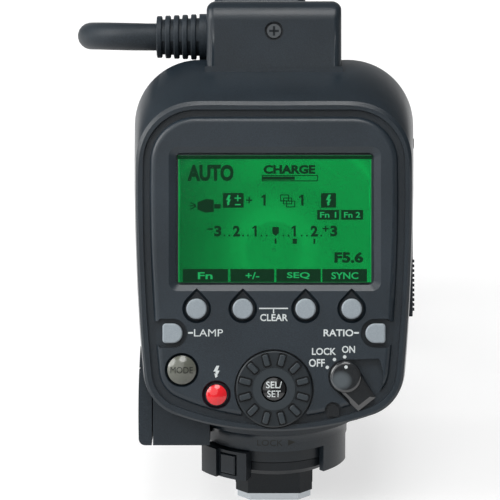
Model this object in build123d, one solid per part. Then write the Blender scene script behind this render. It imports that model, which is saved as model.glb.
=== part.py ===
from build123d import *
import math
import os

# A ring flash for close-ups: a control unit on its shoe foot, a short head cord and the ring head.
# Millimetres, +Z up. The origin is the centre of the shoe plate's lower face.
# The user looks along +Y at the leaning control panel. The lens side is +Y.

# Driving sizes of the control unit
panel_lean = 15  # degrees from the vertical, top away from the user
panel_y = -16.7  # where the panel's reference height lies
panel_z = 67.7
wall = 2.0
overrun = 1.0  # how far a cut runs past the face that it opens
running_gap = 0.05  # round a shaft that turns or slides in its hole
free_gap = 0.3  # between pieces that move past each other

# Largest outline of the front case, at the foot of its shoulder
shoulder_depth = 20.0
case_half = 35.1
side_mid = 10.0  # height on the panel at which the case is widest
case_narrow_top = 0.4
case_narrow_low = 2.7
case_top = 48.0
case_low = -38.5
case_bottom = -43.5
case_top_radius = 16.5
case_low_radius = 12.0

# Back edge of the front case, which frames the panel
rim_side_step = 1.3
rim_top = 36.0
rim_low = -37.6
rim_bottom = -44.6
rim_top_radius = 14.5
rim_low_radius = 11.0
rim_wall = 1.6
rim_back = 0.6
rim_chamfer = 0.6
shoulder_shares = ((0.0, 0.0), (0.25, 0.36), (0.5, 0.62), (0.75, 0.83), (1.0, 1.0))

# Side view of the front case
nose_y = 20.0
nose_radius = 14.0
belly_z = 20.5
front_y = 60.0
front_low_z = 46.0
front_low_radius = 12.0
front_lean = 6.0

# Round neck, quick-lock and foot
neck_radius = 18.6
neck_bottom = 16.0
neck_flare = 3.4
ear_start, ear_end = -48, -12  # degrees
ear_thickness = 1.5
ear_low = 9.2
lever_ring_radius = 16.8
lever_low = 12.6
column_radius = 9.0
flange_radius = 16.4
flange_low = 8.8
flange_chamfer = 1.4
foot_plate_width = 18.6
foot_plate_length = 19.0
foot_plate_height = 2.0
foot_plate_cut = 3.2
foot_base_width = 19.6
foot_base_back = 10.2
rail_slot_height = 2.0
rail_slot_depth = 3.1
rail_slot_stop = 2.4
tab_radius = 21.3
shroud_radius = 20.3
shroud_low = 8.4
tab_start, tab_end, shroud_end = 211, 227, 250  # degrees
release_angle = 235.5
release_width = 4.4
release_height = 5.0
release_proud = 0.4
release_depth = 2.4
release_travel = 0.7
lock_pin_radius = 1.1
lock_pin_y = 6.2
lock_pin_top = 10.4
lock_pin_inset = 0.3
contact_radius = 0.8
contact_row_y = -3.6
contact_pitch = 2.6

# Control panel
panel_inset = 3.3
panel_round = 1.5
groove_depth = 2.2
flange_depth = 3.6
recess_depth = 1.9

screen_u, screen_v = 0.2, 7.6
bezel_width, bezel_height, bezel_radius = 52.0, 35.4, 2.2
bezel_depth = 0.8
window_width, window_height, window_radius = 48.6, 32.4, 1.2
window_thickness = 1.0
view_width, view_height = 47.4, 31.2
module_gap = 0.1
module_depth = 4.7
frame_margin = 2.6
frame_depth = 6.4
board_thickness = 1.6

button_v = -14.45
button_far_left, button_near_left = -18.96, -7.64
button_near_right, button_far_right = 7.74, 19.04
button_places = (button_far_left, button_near_left, button_near_right, button_far_right)
button_radius = 2.5
button_well_radius = 3.55
button_spike_height = 5.2
button_low = -1.2
button_proud = 0.9
button_crown = 0.4
button_travel = 0.6
stem_radius = 1.1
stem_low = -4.9
side_button_u, side_button_v = 24.85, -20.45
side_button_width, side_button_height = 4.9, 4.8
side_well_margin = 1.15
side_button_corner = 0.8
well_slope = 18  # degrees
mode_u, mode_v = -22.6, -29.45
mode_radius, mode_well_radius, mode_crown = 3.5, 4.2, 1.2
mode_proud = 1.3
pilot_u, pilot_v = -14.1, -35.55
pilot_radius, pilot_well_radius, pilot_crown = 2.6, 3.55, 0.7
pilot_proud = 1.1

dial_v = -34.1
dial_radius = 9.4
dial_well_radius = 9.75
dial_slot_half = 8.0
dial_floor = -2.0
dial_face = 0.7
dial_round = 0.5
dial_hole_radius = 3.15
dial_hub_radius = 4.4
dial_hub_low = -5.2
dial_ring_radius = 5.2
dial_ring_rise = 0.25
grip_count = 12
grip_inner, grip_outer = 5.9, 8.7
grip_width = 1.4
grip_rise = 0.75
grip_pocket_depth = 0.35
grip_pocket_margin = 0.35
grip_round = 0.25
set_radius = 2.75
set_proud = 0.95

switch_u, switch_v = 17.5, -31.1
switch_radius = 3.9
switch_proud = 1.7
switch_crown = 0.8
switch_lever_length = 8.6
switch_tip_half = 2.7
switch_lever_angle = -52  # degrees
switch_lever_face = 0.7
switch_lever_bevel = 1.1
switch_turn = 62  # degrees
switch_shaft_radius = 1.4
lamp_u, lamp_top, lamp_width = 14.5, -37.3, 4.15
lamp_lens_width = 2.9
lamp_lens_foot = -40.9
lamp_face = -0.5

button_board_top, button_board_low, button_board_half = -12.2, -38.5, 27.5
post_radius = 1.1
post_u, post_v = 25.5, -33.0

# Cable cover, screw, strain relief and head cord
cover_half = 16.9
cover_top = 62.5
cover_low = 40.0
cover_back = 12.5
cover_front = 48.0
cover_radius = 2.4
cover_edge = 2.0
cover_wall = 2.2
cover_lip_height, cover_lip_proud = 1.2, 0.35
screw_v = 54.7
screw_head_radius, screw_well_radius, screw_well_depth = 1.75, 2.35, 1.3
screw_head_height = 0.9
screw_cross_share = 1.3  # length of the cross in head radii
screw_shank_radius = 1.0
screw_shank_length = 9.0
cord_exit_y, cord_exit_z = 24.4, 113.0
cord_diameter = 7.0
bend_share = 0.49
relief_length = 13.0
relief_base_radius, relief_tip_radius = 5.9, 5.35
relief_notch = 0.95
relief_collar = 2.1
relief_ribs = 5
relief_rib = 1.4
relief_rib_round = 0.35
relief_web_half, relief_web_drop = 1.5, 0.4

# Battery compartment
cell_radius, cell_length = 7.1, 50.0
cell_pitch = 14.5
holder_v, holder_depth = 0.0, 44.0
holder_wall = 1.2
contact_strip = 0.5
door_top, door_low = 24.6, -17.0
door_near, door_far = 26.5, 61.5
door_recess = 1.0
door_proud = 0.3
door_edge = 0.25
door_travel = 3.0
knuckle_radius = 0.65
hinge_inset, hinge_v = 0.05, 26.2
hinge_pin_radius = 0.3
ear_length = 3.0
carrier_height = 1.5
grip_pad_top, grip_pad_low = -2.0, -15.6
grip_pad_rise = 0.5
grip_pad_ribs = 11
grip_rib_share = 0.6
capacitor_radius, capacitor_length = 8.5, 44.0
transformer_size, transformer_height = 16.0, 12.0

# Socket housing at the lower left
box_side_inset, box_right = 1.9, -16.0
box_swell, box_draw = 0.5, 0.6
box_near, box_far = 9.5, 44.0
box_top = -24.0
box_floor_z = 18.3
box_round = 1.6
cap_thickness = 3.1
cap_far = 40.0
cap_top = -29.6
socket_radius, socket_hole_radius = 3.2, 1.6
socket_v, socket_depth = -38.0, 25.0
socket_length = 9.0
socket_pin_radius = 0.3
cap_plug_radius, cap_plug_length = 1.0, 1.0

# Ring head, standing on its lamp housing behind the control unit, its light side to +X
ring_x, ring_y = -4.0, 138.0
ring_radius = 56.4
ring_height = 126.3
ring_thickness = 25.8
ring_split = 2.0
ring_wall = 2.0
lens_radius = 29.5
seat_radius = 31.0
seat_depth = 9.9
ring_round = 2.6
lamp_housing_half = 27.0
lamp_housing_side = 18.0
lamp_housing_radius = 6.0
housing_spread_half, housing_spread_drop = 41.0, 38.4
diffuser_inner, diffuser_outer = 36.5, 52.0
diffuser_half_angle = 62  # degrees
diffuser_flange = 1.4
prism_count = 9
prism_height = 0.7
reflector_floor = 1.0
reflector_wall = 0.8
tube_radius, tube_path_radius, tube_height = 2.2, 44.2, 5.6
tube_half_angle = 59  # degrees
lamp_place, lamp_rise, focus_lamp_radius = 11.0, 10.9, 4.2
focus_lamp_proud = 0.4
led_radius, led_height = 2.5, 3.0
ring_board_half, ring_board_height = 22.0, 12.0
catch_inner, catch_outer = 36.0, 38.6
yoke_angles = (180, 360)  # degrees
catch_tip = 30.4
catch_claw_half = 4.0
catch_low, catch_thickness = -9.9, 1.6
catch_step = 2.0
push_half, push_proud = 7.5, 2.2
push_low, push_high = -10.4, -3.2
gland_z = 9.0
gland_length = 14.0
gland_base_radius, gland_tip_radius = 5.6, 4.3
ring_screw_radius, ring_screw_head, ring_screw_reach = 1.0, 2.0, 50.5

ring_z = ring_height - ring_radius
lamp_drop = ring_z - lamp_rise
half_thickness = ring_thickness / 2
case_reach = 2 * (front_y - panel_y)
rim_half = case_half - rim_side_step
hinge_u = case_half - hinge_inset
box_left = box_side_inset - case_half
switch_reach = math.hypot(switch_lever_length, switch_tip_half)
panel = Plane(
    origin=(0, panel_y, panel_z),
    x_dir=(1, 0, 0),
    z_dir=(0, -math.cos(math.radians(panel_lean)), math.sin(math.radians(panel_lean))),
)
cord_exit = panel.to_local_coords(Vector(0, cord_exit_y, cord_exit_z))
cord_v, cord_depth = cord_exit.Y, -cord_exit.Z
ring_plane = Plane(origin=(ring_x, ring_y, ring_z), x_dir=(0, 1, 0), z_dir=(1, 0, 0))


def prism(face, low, high):
    """A face on the XY plane as a solid from height low to height high."""
    return extrude(Pos(0, 0, low) * face, high - low)


def disc(radius, low, high):
    return prism(Circle(radius), low, high)


def block(x_low, x_high, y_low, y_high, low, high):
    width, height = x_high - x_low, y_high - y_low
    return prism(Pos((x_low + x_high) / 2, (y_low + y_high) / 2) * Rectangle(width, height), low, high)


def sector(radius, start, end):
    """A slice of a disc between two angles in degrees."""
    rim = CenterArc((0, 0), radius, start, end - start)
    return make_face((rim + Line(rim @ 1, (0, 0)) + Line((0, 0), rim @ 0)).edges())


def ring_sector(inner, outer, start, end):
    return sector(outer, start, end) - Circle(inner)


def on_panel(shape, u=0, v=0):
    """Places a shape that was drawn with +Z towards the user."""
    return panel.location * Pos(u, v, 0) * shape


def on_ring(shape):
    return ring_plane.location * shape


def back_outline(half, top, low, bottom, top_radius, low_radius):
    """A rounded outline with swelling sides and a bowed lower edge."""
    upper, lower = half - case_narrow_top, half - case_narrow_low
    right = ThreePointArc((lower, low), (half, side_mid), (upper, top))
    left = ThreePointArc((-upper, top), (-half, side_mid), (-lower, low))
    bow = ThreePointArc((-lower, low), (0, bottom), (lower, low))
    face = make_face((right + Line(right @ 1, left @ 0) + left + bow).edges())
    face = fillet(face.vertices().sort_by(Axis.Y)[2:], top_radius)
    return fillet(face.vertices().sort_by(Axis.Y)[:2], low_radius)


def between(first, last, share):
    return first + (last - first) * share


def shoulder_face(share, inset=0):
    """The case's outline on its shoulder, from the rim at share 0 to the largest outline at share 1."""
    return back_outline(
        between(rim_half, case_half, share) - inset,
        between(rim_top, case_top, share) - inset,
        between(rim_low, case_low, share) + inset,
        between(rim_bottom, case_bottom, share) + inset,
        between(rim_top_radius, case_top_radius, share) - inset,
        between(rim_low_radius, case_low_radius, share) - inset,
    )


def side_profile(inset):
    """The control unit's side view, as a bar that crosses its whole width."""
    top_y = front_y - front_lean
    points = [
        (-case_reach, belly_z),
        (nose_y, belly_z),
        (front_y, front_low_z),
        (top_y, case_reach),
        (-case_reach, case_reach),
    ]
    face = make_face(Polyline(*points, close=True).edges())
    corners = face.vertices().sort_by(Axis.X)
    face = fillet(corners[-1], front_low_radius)
    nose = face.vertices().sort_by_distance(Vector(nose_y, belly_z, 0))[0]
    face = fillet(nose, nose_radius)
    if inset:
        face = offset(face, -inset)
    return extrude(Plane.YZ * face, case_half + overrun, both=True)


def case_outer():
    depths = [between(rim_back, shoulder_depth, depth) for depth, size in shoulder_shares]
    outlines = [shoulder_face(size) for depth, size in shoulder_shares]
    shoulder = loft([Pos(0, 0, -depth) * face for depth, face in zip(depths, outlines)])
    shoulder = chamfer(shoulder.faces().sort_by(Axis.Z)[-1].edges(), rim_chamfer)
    deep = prism(shoulder_face(1), -case_reach, -shoulder_depth)
    return on_panel(shoulder + deep) & side_profile(0)


def case_inner():
    mouth = prism(shoulder_face(0, rim_wall), -flange_depth, overrun)
    back = Pos(0, 0, -flange_depth) * shoulder_face(0, wall)
    deep = shoulder_face(1, wall)
    body = loft([back, Pos(0, 0, -shoulder_depth) * deep], ruled=True)
    body += prism(deep, -case_reach, -shoulder_depth)
    return on_panel(mouth) + (on_panel(body) & side_profile(wall))


def dial_well():
    return on_panel(disc(dial_well_radius, dial_floor, button_proud + overrun), 0, dial_v)


def dial_slot():
    """The part of the dial's recess that opens the panel's lower edge."""
    slot = block(-dial_slot_half, dial_slot_half, rim_bottom - dial_v, 0, dial_floor, button_proud + overrun)
    return on_panel(slot, 0, dial_v)


def socket_box():
    """The housing at the lower left for the outer power socket, its cap included, with a level floor."""
    low = rim_bottom - shoulder_depth
    middle = (box_top + low) / 2
    side = ThreePointArc((box_left, box_top), (box_left - box_swell, middle), (box_left + box_draw, low))
    rest = Polyline((box_left + box_draw, low), (box_right, low), (box_right, box_top), (box_left, box_top))
    box = on_panel(prism(make_face((side + rest).edges()), -box_far, -box_near))
    above = (Align.CENTER, Align.CENTER, Align.MIN)
    box &= Pos(0, 0, box_floor_z) * Box(case_reach, case_reach, case_reach, align=above)
    corner = box.faces().sort_by(Axis.X)[0].edges().sort_by(Axis.Z)[0]
    return fillet(corner, box_round)


def door_recess_cut():
    """The pocket in the right flank that the battery door slides in, with the chamber's mouth."""
    floor = case_half - door_recess
    out = case_half + overrun
    top = hinge_v + knuckle_radius + carrier_height + 2 * free_gap
    pocket = block(
        floor, out, door_low - door_travel - free_gap, top, -door_far - free_gap, -door_near + free_gap
    )
    half = cell_pitch / 2 + cell_radius + holder_wall
    mouth = block(
        floor - 2 * wall, out, holder_v - half, holder_v + half, -holder_depth - half, -holder_depth + half
    )
    return on_panel(pocket) + on_panel(mouth)


def neck():
    """The round neck below the case, with a flare at its root and an ear that guards the lock lever."""
    top = belly_z + 2 * wall
    root = neck_radius + neck_flare
    flare_top = belly_z + wall / 2
    flare_low = flare_top - neck_flare
    curve = RadiusArc((neck_radius, flare_low), (root, flare_top), neck_flare)
    lines = Polyline(
        (root, flare_top), (root, top), (0, top), (0, neck_bottom), (neck_radius, neck_bottom),
        (neck_radius, flare_low),
    )
    profile = make_face((curve + lines).edges())
    ear = ring_sector(neck_radius - ear_thickness, neck_radius, ear_start, ear_end)
    return revolve(Plane.XZ * profile, Axis.Z) + prism(ear, ear_low, neck_bottom)


def front_case():
    body = case_outer() + neck() + socket_box()
    body -= case_inner()
    body -= dial_well()
    body -= door_recess_cut()
    body -= cap_pocket()
    face = box_left + cap_thickness
    hole = Rot(0, 90, 0) * disc(socket_radius, face - overrun, face + socket_length)
    return body - on_panel(Pos(0, socket_v, -socket_depth) * hole)


def cap_pocket():
    """The step in the socket housing that the cap fills."""
    left, right = box_left - box_swell - overrun, box_left + cap_thickness
    low = rim_bottom - shoulder_depth
    return on_panel(block(left, right, low, cap_top + free_gap, -cap_far - free_gap, overrun - box_near))


def side_button_face(side, margin):
    """A D-shaped face, round towards the middle of the panel."""
    round_radius = side_button_height / 2 + margin
    flat = side_button_width - side_button_height / 2
    middle = side_button_width / 2 - side_button_height / 2
    length = flat + margin
    bar = Pos(middle - length / 2, 0) * Rectangle(length, 2 * round_radius)
    bar = fillet(bar.vertices().sort_by(Axis.X)[:2], side_button_corner)
    shape = Pos(middle, 0) * Circle(round_radius) + bar
    return shape if side < 0 else mirror(shape, Plane.YZ)


def bezel_cut():
    """The sloping frame of the screen, then the seat of its window and the opening behind it."""
    outer = RectangleRounded(bezel_width, bezel_height, bezel_radius)
    inner = Pos(0, 0, -bezel_depth) * RectangleRounded(window_width, window_height, window_radius)
    seat = prism(
        RectangleRounded(window_width, window_height, window_radius),
        -bezel_depth - window_thickness,
        -bezel_depth,
    )
    view = prism(Rectangle(view_width, view_height), -flange_depth - overrun, 0)
    above = prism(RectangleRounded(bezel_width, bezel_height, bezel_radius), 0, overrun)
    return on_panel(loft([inner, outer], ruled=True) + seat + view + above, screen_u, screen_v)


def well(face, u, v):
    """A recess whose sides slope in towards its floor."""
    sloped = extrude(face, -recess_depth, taper=well_slope)
    return on_panel(sloped + prism(face, 0, overrun), u, v)


def flat_well(face, u, v):
    return on_panel(prism(face, -recess_depth, overrun), u, v)


def stem_hole(radius, u, v):
    return on_panel(disc(radius + running_gap, -flange_depth - overrun, 0), u, v)


def function_well_face():
    """A round well with a spike that points to the screen's tab above it."""
    half = button_well_radius * math.sin(math.radians(45))
    spike = make_face(Polyline((-half, half), (half, half), (0, button_spike_height), close=True).edges())
    return Circle(button_well_radius) + spike


def switch_lever_face_shape():
    """The lever's outline round the knob's axis: two sides that run from the knob to a straight tip."""
    points = [
        (0, switch_radius), (switch_lever_length, switch_tip_half),
        (switch_lever_length, -switch_tip_half), (0, -switch_radius),
    ]
    return Rot(0, 0, switch_lever_angle) * make_face(Polyline(*points, close=True).edges())


def switch_well_face():
    """The knob's hole with the fan that the lever sweeps."""
    lever = offset(switch_lever_face_shape(), free_gap)
    spread = math.degrees(math.atan2(switch_tip_half, switch_lever_length))
    fan_end = switch_lever_angle + switch_turn + spread
    fan = sector(switch_reach + free_gap, switch_lever_angle - spread, fan_end)
    return Circle(switch_radius + free_gap) + lever + Rot(0, 0, switch_turn) * lever + fan


def lamp_arch(width, top, low):
    middle = top - width / 2
    return Pos(0, middle) * Circle(width / 2) + Pos(0, (middle + low) / 2) * Rectangle(width, middle - low)


def rear_cover():
    flange = prism(shoulder_face(0, rim_wall), -flange_depth, -groove_depth)
    raised = prism(shoulder_face(0, panel_inset), -groove_depth, 0)
    raised = fillet(raised.faces().sort_by(Axis.Z)[-1].edges(), panel_round)
    posts = Sketch() + [Pos(side * post_u, post_v) * Circle(post_radius) for side in (-1, 1)]
    cover = on_panel(flange + raised + prism(posts, button_board_face(), -flange_depth))
    cover -= bezel_cut()
    cover -= dial_well() + dial_slot()
    cover -= stem_hole(dial_hub_radius, 0, dial_v)
    for place in button_places:
        cover -= well(function_well_face(), place, button_v)
        cover -= stem_hole(stem_radius, place, button_v)
    for side in (-1, 1):
        u = side * side_button_u
        face = side_button_face(side, side_well_margin)
        reach = rim_half - side_button_u
        face += Pos(side * reach / 2, 0) * Rectangle(reach, side_button_height + side_well_margin)
        cover -= flat_well(face, u, side_button_v)
        cover -= stem_hole(stem_radius, u, side_button_v)
    cover -= well(Circle(mode_well_radius), mode_u, mode_v)
    cover -= stem_hole(stem_radius, mode_u, mode_v)
    cover -= well(Circle(pilot_well_radius), pilot_u, pilot_v)
    cover -= stem_hole(stem_radius, pilot_u, pilot_v)
    cover -= flat_well(switch_well_face(), switch_u, switch_v)
    cover -= stem_hole(switch_shaft_radius, switch_u, switch_v)
    cover -= flat_well(lamp_arch(lamp_width, lamp_top, rim_bottom), lamp_u, 0)
    return cover


def button_board_face():
    return stem_low - button_travel - free_gap


def pressed_cap(face, low, high, crown):
    cap = prism(face, low, high)
    return fillet(cap.faces().sort_by(Axis.Z)[-1].edges(), crown)


def button(face, proud, crown):
    """A cap with its stem, drawn round its own axis."""
    return pressed_cap(face, button_low, proud, crown) + disc(stem_radius, stem_low, button_low)


def grip_faces(margin):
    length = grip_outer - grip_inner + 2 * margin
    bar = Pos((grip_inner + grip_outer) / 2, 0) * RectangleRounded(
        length, grip_width + 2 * margin, grip_width / 3
    )
    step = 360 / grip_count
    return [Rot(0, 0, step / 2 + step * n) * bar for n in range(grip_count)]


def select_dial():
    dial = disc(dial_radius, dial_floor + free_gap, dial_face)
    dial = fillet(dial.faces().sort_by(Axis.Z)[-1].edges(), dial_round)
    dial += disc(dial_ring_radius, dial_face, dial_face + dial_ring_rise)
    dial += disc(dial_hub_radius, dial_hub_low, dial_floor + free_gap)
    for pocket in grip_faces(grip_pocket_margin):
        dial -= prism(pocket, dial_face - grip_pocket_depth, dial_face + overrun)
    for bar in grip_faces(0):
        grip = prism(bar, dial_face - grip_pocket_depth, dial_face + grip_rise)
        dial += fillet(grip.faces().sort_by(Axis.Z)[-1].edges(), grip_round)
    dial -= disc(dial_hole_radius, dial_hub_low - overrun, dial_face + grip_rise + overrun)
    return dial


def power_switch():
    knob = pressed_cap(Circle(switch_radius), -recess_depth + free_gap, switch_proud, switch_crown)
    lever = prism(switch_lever_face_shape(), -recess_depth + free_gap, switch_lever_face)
    knob += chamfer(lever.faces().sort_by(Axis.Z)[-1].edges(), switch_lever_bevel)
    return knob + disc(switch_shaft_radius, stem_low, -recess_depth + free_gap)


def button_board():
    face = Pos(0, (button_board_top + button_board_low) / 2) * RectangleRounded(
        2 * button_board_half, button_board_top - button_board_low, rim_low_radius - wall
    )
    top = button_board_face()
    board = prism(face, top - board_thickness, top)
    return on_panel(board)


def dial_encoder():
    """The rotary switch under the dial: its body on the board and the sleeve round the set button's stem."""
    top = button_board_face()
    body = disc(dial_hub_radius - running_gap, top, dial_hub_low - free_gap)
    sleeve = disc(dial_hole_radius - running_gap, top, -recess_depth - free_gap)
    bore = disc(stem_radius + running_gap, top, 0)
    return on_panel(body + sleeve - bore, 0, dial_v)


def screen_parts():
    """The window, the lit module behind it, its carrier and the main board."""
    window = prism(
        RectangleRounded(window_width, window_height, window_radius),
        -bezel_depth - window_thickness,
        -bezel_depth,
    )
    module_face = -bezel_depth - window_thickness
    module = prism(Rectangle(view_width - module_gap, view_height - module_gap), -module_depth, module_face)
    outer = Rectangle(view_width + 2 * frame_margin, view_height + 2 * frame_margin)
    pocket = Rectangle(view_width - module_gap, view_height - module_gap)
    carrier = prism(outer, -frame_depth, -flange_depth) - prism(pocket, -module_depth, 0)
    board = prism(outer, -frame_depth - board_thickness, -frame_depth)
    return [on_panel(shape, screen_u, screen_v) for shape in (window, module, carrier, board)]


def cable_cover():
    """A hood that is open towards the case and is cut to sit on its shoulder."""
    hood = block(-cover_half, cover_half, cover_low, cover_top, -cover_front, -cover_back)
    hood = fillet(hood.edges().filter_by(Axis.Z).sort_by(Axis.Y)[-2:], cover_radius)
    back = hood.faces().sort_by(Axis.Z)[-1]
    hood = fillet(back.edges().sort_by(Axis.Y)[1:], cover_edge)
    hollow = block(
        -cover_half + cover_wall,
        cover_half - cover_wall,
        cover_low - overrun,
        cover_top - cover_wall,
        -cover_front + cover_wall,
        -cover_back - cover_wall,
    )
    lip = block(
        -cover_half - cover_lip_proud,
        cover_half + cover_lip_proud,
        cover_low,
        cover_seat() + cover_lip_height,
        -cover_front - cover_lip_proud,
        -cover_back + cover_lip_proud,
    )
    boss_radius = screw_head_radius + cover_wall / 2
    boss_low = -cover_back - cover_wall - screw_shank_length / 2
    shell = hood + lip - hollow
    shell += Pos(0, screw_v) * disc(boss_radius, boss_low, -cover_back - cover_wall)
    shell -= Pos(0, screw_v) * disc(screw_well_radius, -cover_back - screw_well_depth, 0)
    shell -= Pos(0, screw_v) * disc(screw_shank_radius, -cover_back - screw_shank_length, 0)
    shell -= Pos(0, cord_v, -cord_depth) * Rot(0, 90, 0) * disc(
        relief_tip_radius - relief_notch, -cover_half - overrun, -cover_half + cover_wall + overrun
    )
    return on_panel(shell) - case_outer()


def cover_seat():
    """The height at which the shoulder meets the back of the cable cover."""
    reach = (cover_back - rim_back) / (shoulder_depth - rim_back)
    for (near, first), (far, last) in zip(shoulder_shares, shoulder_shares[1:]):
        if near < reach <= far:
            share = between(first, last, (reach - near) / (far - near))
    return between(rim_top, case_top, share)


def cover_screw():
    floor = -cover_back - screw_well_depth
    top = floor + screw_head_height
    head = disc(screw_head_radius, floor, top)
    shank = disc(screw_shank_radius, -cover_back - screw_shank_length, floor)
    cross_length = screw_head_radius * screw_cross_share
    cross = Rectangle(cross_length, screw_head_radius / 3)
    cross += Rectangle(screw_head_radius / 3, cross_length)
    return on_panel(head + shank - prism(cross, top - screw_head_height / 2, top + overrun), 0, screw_v)


def strain_relief():
    """A collar, then rounded ribs on a core, joined by webs so that it bends up and down."""
    start = cover_half
    end = cover_half + relief_length

    def cone(inset):
        base = Pos(0, 0, start) * Circle(relief_base_radius - inset)
        return loft([base, Pos(0, 0, end) * Circle(relief_tip_radius - inset)], ruled=True)

    relief = cone(relief_notch)
    relief += disc(relief_tip_radius - relief_notch, start - cover_wall, start)
    relief += disc(relief_base_radius, start, start + relief_collar)
    pitch = (relief_length - relief_collar) / relief_ribs
    for n in range(relief_ribs):
        radius = between(relief_base_radius, relief_tip_radius, (n + 1) / relief_ribs)
        top = start + relief_collar + pitch * (n + 1)
        rib = disc(radius, top - relief_rib, top)
        relief += fillet(rib.edges(), relief_rib_round)
    web = block(
        -relief_base_radius, relief_base_radius, -relief_web_half, relief_web_half, start, end
    )
    relief += web & cone(relief_web_drop)
    return on_panel(Pos(0, cord_v, -cord_depth) * Rot(0, -90, 0) * relief)


# The head cord's route: out to the left, round behind the cable cover, down to the floor, along the ring
# head and back into its gland
cord_route = [
    (-35.3, 24.4, 113.0),
    (-40.3, 26.1, 112.5),
    (-44.3, 29.4, 111.7),
    (-47.0, 33.9, 110.5),
    (-47.9, 38.9, 109.1),
    (-47.0, 43.9, 107.8),
    (-44.3, 48.3, 106.6),
    (-32.0, 58.0, 104.1),
    (-21.5, 65.5, 102.3),
    (-8.0, 70.6, 99.5),
    (0.5, 71.7, 93.0),
    (4.0, 72.0, 84.6),
    (4.3, 72.2, 74.0),
    (2.5, 72.5, 61.5),
    (-1.0, 73.2, 49.0),
    (-6.0, 74.7, 37.0),
    (-12.0, 77.2, 26.5),
    (-18.0, 81.2, 17.0),
    (-23.0, 87.7, 9.2),
    (-25.5, 96.2, 4.8),
    (-26.5, 106.2, 3.5),
    (-27.9, 124.0, 3.5),
    (-27.0, 146.0, 3.5),
    (-28.2, 168.0, 3.5),
    (-27.2, 190.0, 3.5),
    (-28.2, 212.0, 3.5),
    (-27.5, 229.0, 3.5),
    (-21.3, 240.8, 3.5),
    (-10.7, 247.0, 3.5),
    (1.7, 247.0, 3.5),
    (12.3, 240.8, 3.5),
    (18.5, 230.2, 3.5),
    (18.5, 217.8, 3.6),
    (12.3, 207.2, 4.4),
    (1.9, 201.0, 6.6),
    (-4.0, 190.6, 9.0),
]


def head_cord():
    start = panel.from_local_coords(Vector(-cover_half - relief_length, cord_v, -cord_depth))
    end = Vector(ring_x, ring_y + lamp_housing_half + gland_length, gland_z)
    points = [start] + [Vector(*place) for place in cord_route] + [end]
    runs = [b - a for a, b in zip(points, points[1:])]
    radii = []
    for before, after in zip(runs, runs[1:]):
        half_turn = math.radians(before.get_angle(after)) / 2
        radii.append(bend_share * min(before.length, after.length) / math.tan(half_turn))
    path = FilletPolyline(*points, radius=radii)
    print("cord radii", [round(radius, 1) for radius in radii], "length", round(path.length))
    section = Plane(origin=start, z_dir=runs[0]) * Circle(cord_diameter / 2)
    return sweep(section, path=path)


def battery_holder():
    """The tray that the cells slide into from the right. Its mouth is held in the case's opening."""
    half = cell_pitch / 2 + cell_radius + holder_wall
    inside = half - holder_wall
    right = case_half - door_recess
    left = right - wall - cell_length - contact_strip - holder_wall
    tray = block(left, right, holder_v - half, holder_v + half, -holder_depth - half, -holder_depth + half)
    tray -= block(
        left + holder_wall,
        right + overrun,
        holder_v - inside,
        holder_v + inside,
        -holder_depth - inside,
        -holder_depth + inside,
    )
    return on_panel(tray)


def battery_cells():
    right = case_half - door_recess - wall
    left = right - cell_length
    cells = Part()
    for v in (-1, 1):
        for n in (-1, 1):
            place = Pos(0, holder_v + v * cell_pitch / 2, -holder_depth + n * cell_pitch / 2)
            cells += place * Rot(0, 90, 0) * disc(cell_radius, left, right)
    return on_panel(cells)


def battery_contacts():
    right = case_half - door_recess - wall
    left = right - cell_length - contact_strip
    strips = Part()
    for v in (-1, 1):
        middle = holder_v + v * cell_pitch / 2
        reach = cell_pitch / 2 + cell_radius / 2
        strips += block(
            left, left + contact_strip, middle - cell_radius / 2, middle + cell_radius / 2,
            -holder_depth - reach, -holder_depth + reach,
        )
    return on_panel(strips)


def battery_door():
    floor = case_half - door_recess + free_gap
    face = case_half + door_proud
    door = block(floor, face, door_low, door_top, -door_far, -door_near)
    door = fillet(door.faces().sort_by(Axis.X)[-1].edges(), door_edge)
    rib_pitch = (grip_pad_top - grip_pad_low) / grip_pad_ribs
    for n in range(grip_pad_ribs):
        low = grip_pad_low + rib_pitch * n
        door += block(
            face - door_edge, face + grip_pad_rise, low, low + rib_pitch * grip_rib_share,
            -door_far + wall, -door_near - wall,
        )
    knuckle = Pos(hinge_u, hinge_v) * disc(knuckle_radius, -door_far + ear_length, -door_near - ear_length)
    leaf = block(
        hinge_u - knuckle_radius / 2, hinge_u + knuckle_radius / 2, door_top - wall, hinge_v,
        -door_far + ear_length, -door_near - ear_length,
    )
    door += knuckle
    door += leaf
    door -= Pos(hinge_u, hinge_v) * disc(hinge_pin_radius + running_gap, -door_far, -door_near)
    return on_panel(door)


def door_carrier():
    """The bar above the door's hinge, with an ear at each end that holds the pin."""
    low = hinge_v + knuckle_radius + free_gap
    floor = case_half - door_recess + free_gap
    bar = block(floor, hinge_u + knuckle_radius, low, low + carrier_height - free_gap, -door_far, -door_near)
    for near in (-door_far, -door_near - ear_length + free_gap):
        ear = block(floor, hinge_u + knuckle_radius, hinge_v, low, near, near + ear_length - free_gap)
        ear += Pos(hinge_u, hinge_v) * disc(knuckle_radius, near, near + ear_length - free_gap)
        bar += ear
    bar -= Pos(hinge_u, hinge_v) * disc(hinge_pin_radius, -door_far - overrun, -door_near + overrun)
    return on_panel(bar)


def door_hinge_pin():
    return on_panel(Pos(hinge_u, hinge_v) * disc(hinge_pin_radius, -door_far, -door_near))


def main_capacitor():
    half = cell_pitch / 2 + cell_radius + holder_wall
    can = disc(capacitor_radius, -capacitor_length / 2, capacitor_length / 2)
    can = fillet(can.edges(), capacitor_radius / 8)
    place = Pos(0, holder_v - half - capacitor_radius, -holder_depth)
    return on_panel(place * Rot(0, 90, 0) * can)


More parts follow.
